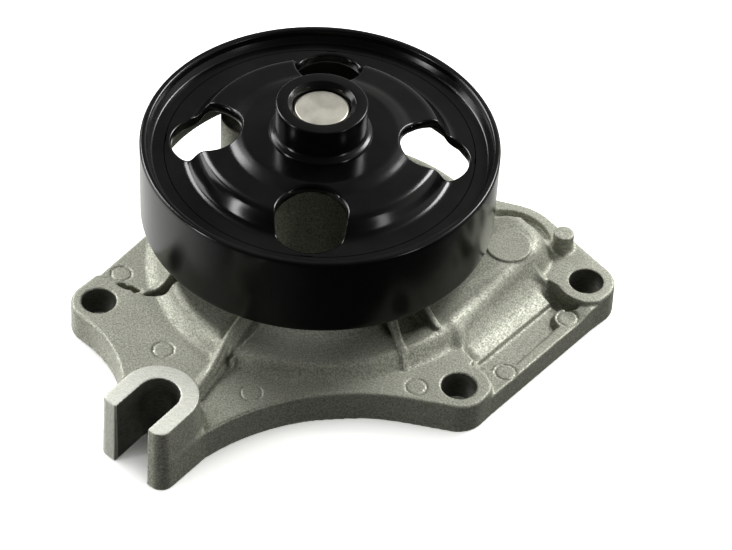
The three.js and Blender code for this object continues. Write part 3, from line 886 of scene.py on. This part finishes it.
def web_plan():
    """Points and triangles of the flat web between its spigot hole, its outer circle and the windows."""
    spots, loops = [], []

    def ring(centre, r, count, phase=0.0):
        a = (np.arange(count) + phase) * (2 * math.pi / count)
        start = len(spots)
        spots.extend(zip(centre[0] + r * np.cos(a), centre[1] + r * np.sin(a), strict=True))
        return list(range(start, start + count))

    around = 144
    for centre in window_centres():
        loops.append(ring(centre, WINDOW_R, around))
        for grown in (0.04, 0.14, 0.3, 0.5, 0.72, 1.1):
            ring(centre, WINDOW_R + grown, around)
    loops.append(ring((0, 0), WEB_OUTER_R, TURNS))
    loops.append(ring((0, 0), WEB_INNER_R, TURNS // 2))
    spacing = 0.62
    r = WEB_INNER_R + spacing
    while r < WEB_OUTER_R - 0.5 * spacing:
        count = int(2 * math.pi * r / (spacing * 1.25))
        start = len(spots)
        ring((0, 0), r, count, 0.5 * (int(r / spacing) % 2))
        nearest = [min(math.dist(p, c) for c in window_centres()) for p in spots[start:]]
        spots[start:] = [p for p, d in zip(spots[start:], nearest) if d > WINDOW_R + 1.5]
        r += spacing
    edges = [(loop[k - 1], loop[k]) for loop in loops for k in range(len(loop))]
    flat, faces = meshed(spots, edges)
    middle = flat[faces].mean(1)
    far = np.hypot(*middle.T)
    keep = (far > WEB_INNER_R) & (far < WEB_OUTER_R)
    for c in window_centres():
        keep &= np.hypot(*(middle - c).T) > WINDOW_R - 0.02
    faces, area = wound_up(flat, faces[keep])
    return flat, faces[area > 1e-9]


def boundary_loops(faces):
    """Directed edges that only one triangle has."""
    sides = np.concatenate([faces[:, [0, 1]], faces[:, [1, 2]], faces[:, [2, 0]]])
    known = set(map(tuple, sides.tolist()))
    return [(a, b) for a, b in sides.tolist() if (b, a) not in known]


def pulley():
    """The pressed web with its punched windows, in one piece with the rim."""
    flat, faces = web_plan()
    r = np.hypot(*flat.T)
    gap = np.min([np.hypot(*(flat - c).T) for c in window_centres()], axis=0) - WINDOW_R
    sheet = RIM_TOP + np.interp(r, *WEB_PROFILE)
    top = sheet - rolled(gap, PUNCH_R)
    bottom = sheet - WEB_SHEET + rolled(gap, 0.4)
    count = len(flat)
    points = [*np.c_[flat, top], *np.c_[flat, bottom]]
    out = [tuple(f) for f in faces] + [tuple(f[::-1] + count) for f in faces]
    for a, b in boundary_loops(faces):
        if min(r[a], r[b]) < WEB_OUTER_R - 0.01:
            out.append((b, a, a + count, b + count))
    ledge = RIM_TOP - LEDGE_DROP
    inner = RIM_R - RIM_WALL
    profile = [
        (WEB_OUTER_R, ledge),
        (48.6, ledge),
        (49.75, RIM_TOP - 2.2),
        (49.95, RIM_TOP),
        (RIM_R, RIM_TOP),
        (RIM_R, RIM_BOTTOM),
        (inner, RIM_BOTTOM),
        (inner, ledge - WEB_SHEET),
        (WEB_OUTER_R, ledge - WEB_SHEET),
    ]
    lip = [np.array(p) for p in rounded(profile, [0, 0.9, 0.5, 0.75, 0.75, 0.7, 0.7, 1.6, 0], 7)]
    # split the long walls so that the faces stay near square
    dense = [tuple(lip[0])]
    for p, q in zip(lip, lip[1:]):
        parts = max(1, int(math.dist(p, q) / 1.3))
        dense += [tuple(p + (q - p) * k / parts) for k in range(1, parts + 1)]
    ring_points, ring_faces = lathe(dense, TURNS)
    last = len(dense) - 1
    base = len(points)
    out += [tuple(f + base) for f in ring_faces if f[0] % len(dense) != last]
    points, out = welded(np.array(points + list(ring_points)), out, 2e-4)
    piece("pulley_painted", points, out, "paint", "rotor", "pulley")


pulley()


def hub():
    web = RIM_TOP + PULLEY_TOP[0][1]
    profile = [
        (ON_SHAFT, web - WEB_SHEET),
        (HUB_SPIGOT_R, web - WEB_SHEET),
        (HUB_SPIGOT_R, web + 0.05),
        (HUB_R + 1.8, web + 0.05),
        (HUB_R + 1.6, web + 0.7),
        (HUB_R, web + 1.5),
        (HUB_R, HUB_TOP),
        (9.7, HUB_TOP),
        (8.5, HUB_TOP - 0.9),
        (8.3, HUB_TOP - 2.7),
        (ON_SHAFT, HUB_TOP - 2.9),
    ]
    radii = [0.3, 0.4, 0, 0.1, 0.7, 1.2, 0.45, 0.3, 0.2, 0.1, 0.1]
    turned_piece("hub_painted", profile, radii, "paint", "rotor", "pulley_hub")


def groove(z, surface_r, sign):
    """A raceway's half-round hollow in a profile, listed from low to high."""
    half = math.acos(abs(surface_r - PITCH_R) / GROOVE_R)
    angles = np.linspace(half, -half, GROOVE_STEPS + 1)
    return [(PITCH_R + sign * GROOVE_R * math.cos(a), z - GROOVE_R * math.sin(a)) for a in angles]


def bearing():
    """The shaft, the outer race and the bearing's two rubber seals."""
    in_grooves = [0] * 2 * (GROOVE_STEPS + 1)
    shaft = [
        (0, SHAFT_END),
        (SHAFT_R, SHAFT_END),
        *groove(ROWS["rear"], SHAFT_R, -1),
        *groove(ROWS["front"], SHAFT_R, -1),
        (SHAFT_R, NOSE_HEIGHT),
        (0, NOSE_HEIGHT),
    ]
    radii = [0, 0.8, *in_grooves, 0.7, 0]
    turned_piece("shaft_ground", shaft, radii, "steel", "rotor", "bearing_shaft")
    race = [
        (RACE_INNER_R, RACE_LOW),
        (RACE_OUTER_R, RACE_LOW),
        (RACE_OUTER_R, RACE_HIGH),
        (RACE_INNER_R, RACE_HIGH),
        *groove(ROWS["front"], RACE_INNER_R, 1)[::-1],
        *groove(ROWS["rear"], RACE_INNER_R, 1)[::-1],
    ]
    radii = [0.2, 0.7, 0.7, 0.2, *in_grooves]
    turned_piece("outer_race_ground", race, radii, "race", "housing", "bearing_outer_race")
    seal_r = RACE_INNER_R - 0.1
    for row, low in (("rear", 26.3), ("front", 46.6)):
        profile = [
            (SHAFT_R + 0.15, low + 0.3),
            (8.6, low),
            (seal_r, low),
            (seal_r, low + 1.1),
            (10.6, low + 1.1),
            (10.2, low + 0.8),
            (8.6, low + 0.8),
        ]
        name, node = f"{row}_bearing_seal", f"bearing_seal_{row}"
        turned_piece(name, profile, 0.15, "rubber", "housing", node, SEAL_TURNS)


def ball_points(steps):
    """A sphere of even quads: a cube's faces, each divided and drawn out to the radius."""
    ticks = np.tan(np.linspace(-math.pi / 4, math.pi / 4, steps + 1))
    points, faces = [], []
    for axis in range(3):
        for side in (-1, 1):
            start = len(points)
            for u in ticks:
                for v in ticks:
                    p = np.empty(3)
                    p[axis], p[(axis + 1) % 3], p[(axis + 2) % 3] = side, u, v
                    points.append(BALL_R * p / np.linalg.norm(p))
            for i in range(steps):
                for j in range(steps):
                    a = start + i * (steps + 1) + j
                    quad = (a, a + steps + 1, a + steps + 2, a + 1)
                    faces.append(quad if side > 0 else quad[::-1])
    return welded(points, faces)


def balls_and_cages():
    points, faces = ball_points(8)
    for row, z in ROWS.items():
        for i in range(BALLS_PER_ROW):
            x, y = polar(PITCH_R, 360 / BALLS_PER_ROW * i)
            name, body, node = f"{row}_ball_{i + 1}", f"{row}_cage", f"ball_{row}_{i + 1}"
            piece(name, points + (x, y, z), faces, "race", body, node)
        cage(row, z)


def cage(row, z):
    """A ring with a round pocket for each ball; its wall is unrolled, meshed and rolled up again."""
    per_degree = math.pi / 180 * PITCH_R
    share = 360 / BALLS_PER_ROW
    columns, around = 144, 40
    spots, loops = [], []

    def line(h):
        start = len(spots)
        spots.extend((360.0 * k / columns, h) for k in range(columns + 1))
        return start

    low, high = line(-CAGE_HALF), line(CAGE_HALF)
    for start in (low, high):
        loops += [(start + k, start + k + 1) for k in range(columns)]
    for i in range(BALLS_PER_ROW):
        centre = share * (i + 0.5)
        start = len(spots)
        for k in range(around):
            a = 2 * math.pi * k / around
            spots.append((centre + CAGE_POCKET_R * math.cos(a) / per_degree, CAGE_POCKET_R * math.sin(a)))
        loops += [(start + k, start + (k + 1) % around) for k in range(around)]
        for h in np.linspace(-CAGE_HALF, CAGE_HALF, 7)[1:-1]:
            for d in np.linspace(-share / 2, share / 2, 13)[:-1]:
                if math.hypot(d * per_degree, h) > CAGE_POCKET_R + 0.35:
                    spots.append((centre + d, h))
    loops += [(low, high), (low + columns, high + columns)]
    flat, faces = meshed(spots, loops)
    middle = flat[faces].mean(1)
    off = (middle[:, 0] % share - share / 2) * per_degree
    faces, _ = wound_up(flat, faces[np.hypot(off, middle[:, 1]) > CAGE_POCKET_R - 0.02])
    angle = np.radians(flat[:, 0] - share / 2)
    x, y = np.cos(angle), np.sin(angle)
    points = np.concatenate([np.c_[r * x, r * y, z + flat[:, 1]] for r in (CAGE_OUTER_R, CAGE_INNER_R)])
    count = len(flat)
    out = [tuple(f) for f in faces] + [tuple(f[::-1] + count) for f in faces]
    for a, b in boundary_loops(faces):
        on_seam = abs(flat[a, 0] - flat[b, 0]) < 1e-6 and flat[a, 0] % 360 < 1e-6
        if not on_seam:
            out.append((b, a, a + count, b + count))
    points, out = welded(points, out, 1e-4)
    name, body, node = f"{row}_ball_cage", f"{row}_cage", f"ball_cage_{row}"
    made = piece(name, points, out, "nylon", body, node)
    made.data.set_sharp_from_angle(angle=math.radians(40))


def seal():
    """Slinger and face seal, from the case in the bore to the hard ring that turns with the shaft."""
    case_r = SEAL_BORE_R - 0.1
    slinger = [(ON_SHAFT, 22.8), (9.4, 22.8), (11.2, 23.6), (11.2, 24.4)]
    slinger += [(9.4, 23.8), (9.4, 24.6), (ON_SHAFT, 24.6)]
    case = [(10.2, 20.3), (13.4, 20.3), (13.4, 12), (case_r, 12), (case_r, 21.3), (10.2, 21.3)]
    bellows = [(9.4, 16.4), (11.9, 16.4), (11.9, 17.4), (10.4, 17.8), (10.4, 20.1), (9.4, 20.1)]
    carbon = [(9, 14.3), (11, 14.3), (11.9, 15), (11.9, 16.2), (9, 16.2)]
    cup = [(ON_SHAFT, 9.9), (12.2, 9.9), (12.2, 12.2), (11.6, 12.2), (11.6, 11), (ON_SHAFT, 11)]
    seat = [(8.3, 11.1), (11.5, 11.1), (11.5, 14.2), (8.3, 14.2)]
    rings = [
        ("slinger_moulded", slinger, 0.2, "rubber", "rotor", "slinger"),
        ("seal_case_pressed", case, [0.3, 0.8, 0.3, 0.3, 1.4, 0.3], "brass", "housing", "seal_case"),
        (
            "seal_bellows_moulded", bellows, [0.2, 0.3, 0.3, 0.5, 0.3, 0.2],
            "rubber", "housing", "seal_bellows",
        ),
        ("seal_carbon_lapped", carbon, [0.1, 0.1, 0.3, 0.2, 0.2], "carbon", "housing", "seal_carbon_ring"),
        ("seal_cup_moulded", cup, [0.2, 0.4, 0.2, 0.2, 0.1, 0.2], "rubber", "rotor", "seal_seat_cup"),
        ("seal_seat_lapped", seat, [0.25, 0.25, 0.15, 0.25], "ceramic", "rotor", "seal_seat_ring"),
    ]
    # each ring's slot has the name of its finish
    for name, profile, radii, finish, body, node in rings:
        turned_piece(name, profile, radii, finish, body, node, SEAL_TURNS)
    spring()


def spring():
    """The seal's coil, its wire round and its ends closed."""
    turns, steps, sides = 2.5, 200, 14
    coil_r, wire_r = 12.6, 0.4
    low, high = 16.6, 19.3
    points, faces = [], []
    for i in range(steps + 1):
        a = 2 * math.pi * turns * i / steps
        centre = np.array([coil_r * math.cos(a), coil_r * math.sin(a), low + (high - low) * i / steps])
        out = np.array([math.cos(a), math.sin(a), 0])
        for k in range(sides):
            b = 2 * math.pi * k / sides
            points.append(centre + wire_r * (math.cos(b) * out + math.sin(b) * np.array([0, 0, 1])))
    for i in range(steps):
        for k in range(sides):
            a, b = i * sides + k, i * sides + (k + 1) % sides
            faces.append((a, b, b + sides, a + sides))
    faces = [f[::-1] for f in faces]
    faces.append(tuple(range(sides)))
    faces.append(tuple(range(steps * sides, (steps + 1) * sides))[::-1])
    piece("seal_spring_wound", np.array(points), faces, "steel", "housing", "seal_spring")


def impeller():
    """A shrouded disc with six swept vanes, each joined to it by a fillet: meshed from its own field."""
    pitch = 0.4
    low_corner = np.array([-29.0, -29.0, -1.0])
    counts = np.ceil((np.array([29.0, 29.0, 11.5]) - low_corner) / pitch).astype(int)
    ax = [(low_corner[k] + pitch * np.arange(counts[k])).astype(np.float32) for k in range(3)]
    x, y = np.meshgrid(ax[0], ax[1], indexing="ij")
    r, angle = np.hypot(x, y), np.degrees(np.arctan2(y, x))
    h = ax[2][None, None, :]
    low = IMPELLER_ROOF - IMPELLER_PLATE
    slab = np.abs(h - (low + IMPELLER_ROOF) / 2) - IMPELLER_PLATE / 2
    plate = meet((r - IMPELLER_R)[:, :, None] + 0 * h, slab, 0.5)
    boss = meet((r - 12.6)[:, :, None] + 0.5 * (low - h), 1.6 - h, 0.8)
    boss = np.maximum(boss, h - IMPELLER_ROOF)
    body = fillet(plate, boss, 2.0)
    # how far each place lies from the middle of its vane
    turned_by = -VANE_SWEEP * (r - 12) / (IMPELLER_R - 13)
    share = 360 / VANE_COUNT
    off = (angle - turned_by + share / 2) % share - share / 2
    lean = math.cos(math.atan(math.radians(VANE_SWEEP) * 20 / (IMPELLER_R - 13)))
    side = np.abs(np.radians(off) * r * lean) - 1.05
    ends = np.maximum(10.0 - r, r - (IMPELLER_R - 1))
    vanes = meet(np.maximum(side, ends)[:, :, None] + 0 * h, 1.0 - h, 0.6)
    vanes = np.maximum(vanes, h - IMPELLER_ROOF + 1)
    body = fillet(body, vanes, 1.2)
    body = meet(body, (ON_SHAFT - r)[:, :, None] + 0 * h, 0.3)
    grid = openvdb.FloatGrid(2 * pitch)
    grid.copyFromArray(np.clip(body, -2 * pitch, 2 * pitch).astype(np.float32))
    points, quads = grid.convertToQuads(0.0)
    points = np.asarray(points, float) * pitch + low_corner
    quads = np.asarray(quads)
    a, b, c = (points[quads[:, k]] for k in range(3))
    if (np.cross(b - a, c - a) * a).sum() < 0:
        quads = quads[:, ::-1]
    piece("impeller_cast", points, quads, "cast", "rotor", "impeller")


hub()
bearing()
balls_and_cages()
seal()
impeller()


# ---------------------------------------------------------------- floor, light and camera


# each lamp's name, place, the point it faces, width and height in metres, and power in watts
LAMPS = [
    ("back_right_soft", (0.70, 0.66, 0.78), (0, 0, -0.03), (0.42, 0.5), 9),
    ("back_left_soft", (-0.62, 0.68, 0.76), (0, 0, -0.03), (0.4, 0.5), 6),
    ("left_soft", (-0.95, 0.35, 0.45), (0, 0, -0.03), (0.5, 0.6), 3.5),
    ("front_left_soft", (-0.85, -0.38, 0.2), (0, 0, -0.05), (0.12, 0.45), 2.0),
    ("right_low_soft", (0.7, -0.5, 0.16), (0.03, 0, -0.05), (0.12, 0.4), 0.7),
]
# the camera's place in millimetres from the frame's origin, and where its right side and back point
CAMERA_AT = (15.33, -602.08, 515.63)
CAMERA_RIGHT = (0.99826, 0.04092, 0.04245)
CAMERA_BACK = (0, -0.71995, 0.69403)
LENS = 136.87
TABLE_HALF = 3.0  # metres


def studio_floor():
    made, tree, shader = nodes_of("white_table")
    tinted(tree, shader, (0.86, 0.87, 0.84), (0.92, 0.92, 0.90), noise(tree, 40, 3))
    shader.inputs["Roughness"].default_value = 0.75
    shader.inputs["Specular IOR Level"].default_value = 0.15
    shader.inputs["Emission Color"].default_value = (1, 1, 0.985, 1)
    # the glow fades where the pump stands close over the table: a painted shadow on the floor near and
    # under the pump
    shadow_occlusion = tree.nodes.new("ShaderNodeAmbientOcclusion")
    shadow_occlusion.samples = 8
    shadow_occlusion.inputs["Distance"].default_value = 0.03
    glow = spread(tree, shadow_occlusion.outputs["AO"], 0.0, 0.66, 0.2, 0.7)
    tree.links.new(glow, shader.inputs["Emission Strength"])
    half, z = TABLE_HALF, -(NOSE_HEIGHT + 0.05) * MM
    mesh = bpy.data.meshes.new("table_top")
    mesh.from_pydata(
        [(-half, -half, z), (half, -half, z), (half, half, z), (-half, half, z)],
        [],
        [(0, 1, 2, 3)],
    )
    mesh.materials.append(made)
    top = bpy.data.objects.new("table_top", mesh)
    bpy.context.scene.collection.objects.link(top)
    # the room's own lower half lights the pump from below, so the table only takes shadows
    top.visible_diffuse = False
    top.visible_glossy = False


def soft_light(name, at, toward, size, power):
    data = bpy.data.lights.new(name, "AREA")
    data.shape = "RECTANGLE"
    data.size, data.size_y = size
    data.energy = power
    lamp = bpy.data.objects.new(name, data)
    lamp.location = at
    aim = Vector(toward) - Vector(at)
    lamp.rotation_mode = "QUATERNION"
    lamp.rotation_quaternion = aim.to_track_quat("-Z", "Y")
    bpy.context.scene.collection.objects.link(lamp)


def ramp_of(tree, value, stops):
    """A grey ramp through (position, brightness) stops."""
    node = tree.nodes.new("ShaderNodeValToRGB")
    ramp = node.color_ramp
    for _ in stops[2:]:
        ramp.elements.new(0.5)
    for element, (position, tone) in zip(ramp.elements, stops):
        element.position = position
        element.color = (tone, tone, 0.97 * tone, 1)
    tree.links.new(value, node.inputs["Fac"])
    return node.outputs["Color"]


def surroundings():
    """A pale room: the table bright to the left and behind, dim in front, and a dim ceiling."""
    world = bpy.data.worlds.new("pale_room")
    bpy.context.scene.world = world
    world.use_nodes = True
    tree = world.node_tree
    place = tree.nodes.new("ShaderNodeTexCoord")
    split = tree.nodes.new("ShaderNodeSeparateXYZ")
    tree.links.new(place.outputs["Generated"], split.inputs["Vector"])
    x, y, z = (split.outputs[k] for k in "XYZ")
    left_back = added(tree, times(tree, x, -0.6), times(tree, y, 0.8))
    below = ramp_of(
        tree,
        spread(tree, left_back, 0.0, 1.0, -1.0, 1.0),
        [(0.2, 0.03), (0.32, 0.13), (0.5, 0.10), (0.61, 0.42), (0.70, 0.75), (0.78, 0.98)],
    )
    right_back = added(tree, times(tree, x, 0.75), times(tree, y, 0.45))
    above = ramp_of(
        tree,
        spread(tree, right_back, 0.0, 1.0, -1.0, 1.0),
        [(0.15, 0.05), (0.45, 0.08), (0.62, 0.14), (0.75, 0.4), (0.9, 0.7)],
    )
    mix = tree.nodes.new("ShaderNodeMix")
    mix.data_type = "RGBA"
    tree.links.new(spread(tree, z, 0.0, 1.0, -0.15, 0.2), mix.inputs["Factor"])
    tree.links.new(below, mix.inputs["A"])
    tree.links.new(above, mix.inputs["B"])
    back = tree.nodes["Background"]
    tree.links.new(mix.outputs["Result"], back.inputs["Color"])
    back.inputs["Strength"].default_value = 1.0


def camera():
    """A long lens 0.8 m off, looking down at about 44 degrees, as in the photograph."""
    data = bpy.data.cameras.new("view_camera")
    data.sensor_width = 36
    data.lens = LENS
    data.clip_start, data.clip_end = 0.02, 30
    cam = bpy.data.objects.new("view_camera", data)
    back = Vector(CAMERA_BACK).normalized()
    up = back.cross(Vector(CAMERA_RIGHT)).normalized()
    right = up.cross(back).normalized()
    place = Matrix((right, up, back)).transposed().to_4x4()
    place.translation = Vector(CAMERA_AT) * MM
    cam.matrix_world = place
    bpy.context.scene.collection.objects.link(cam)
    bpy.context.scene.camera = cam


studio_floor()
surroundings()
for lamp in LAMPS:
    soft_light(*lamp)
camera()

bpy.context.scene.view_settings.view_transform = "Standard"
bpy.context.scene.view_settings.look = "Medium High Contrast"
